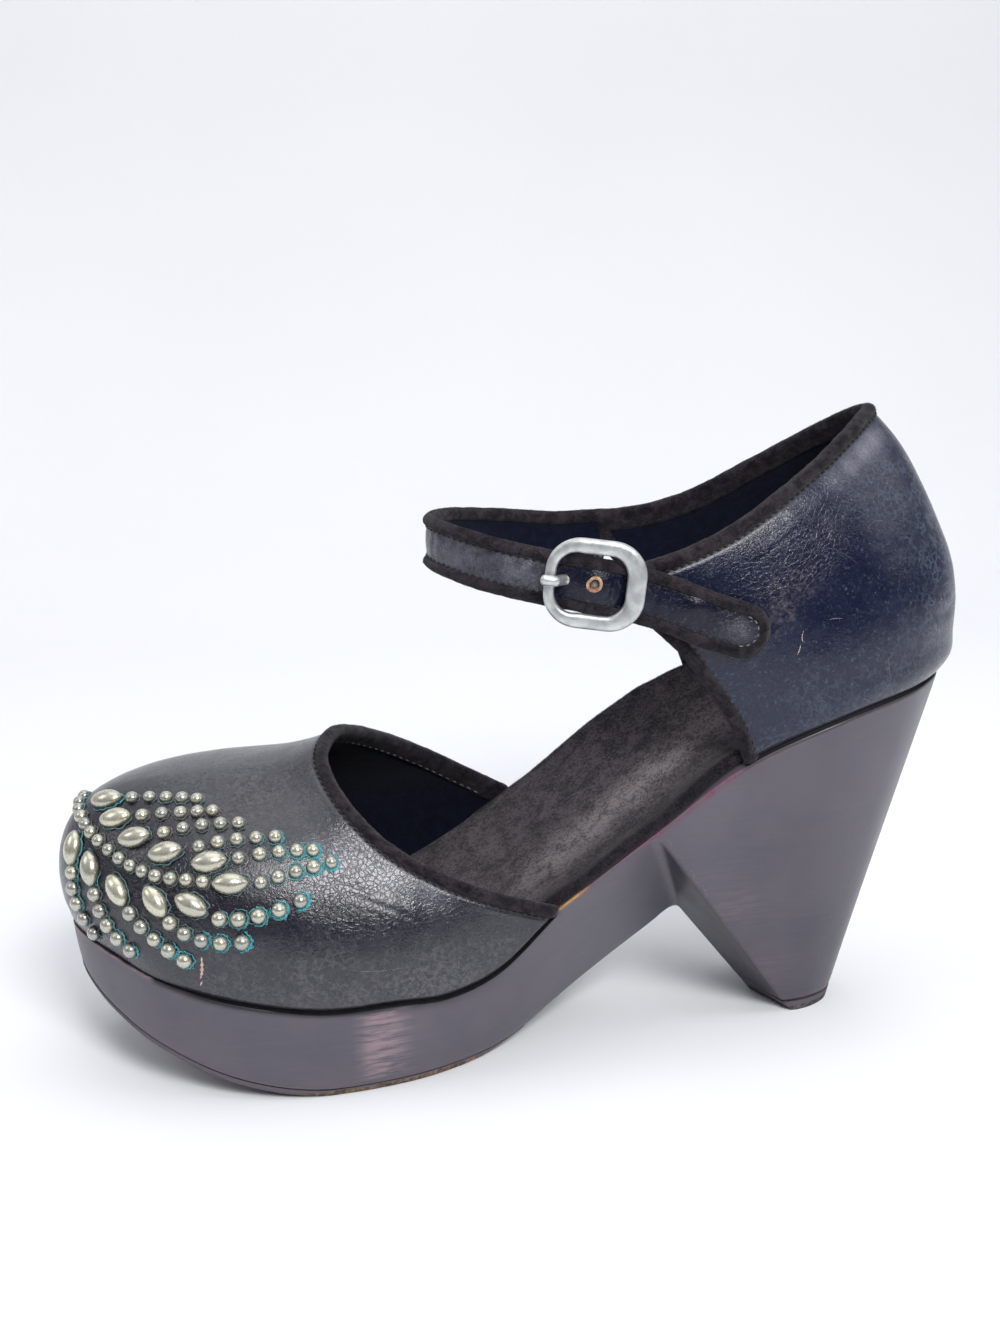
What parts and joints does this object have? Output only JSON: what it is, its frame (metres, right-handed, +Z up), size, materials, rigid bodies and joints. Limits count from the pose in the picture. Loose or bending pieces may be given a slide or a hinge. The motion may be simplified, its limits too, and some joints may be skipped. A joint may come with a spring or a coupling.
{
  "type": "platform clog",
  "caption": "Left platform clog: notched wooden sole, hollow leather round-toe vamp and heel counter, open waist and an ankle strap with a fastened buckle.",
  "frame": {"origin": "middle of the shoe's box on the floor it stands on", "axes": "+X toward the heel, +Y toward the inner side of the foot, +Z up"},
  "size_m": [0.2284, 0.0836, 0.157],
  "materials": {
    "painted_wood": "satin plum-grey paint",
    "tread": "matte",
    "suede": "napped suede",
    "upper_leather": "grained, semi-gloss",
    "pewter": "satin antique silver"
  },
  "bodies": {
    "root": {"sole_block": "painted_wood", "outsole": "tread", "heel_tip": "tread", "insole": "suede", "vamp": "upper_leather", "quarter": "upper_leather", "ankle_strap": "upper_leather", "buckle_frame": "pewter", "buckle_prong": "pewter"}
  },
  "joints": []
}
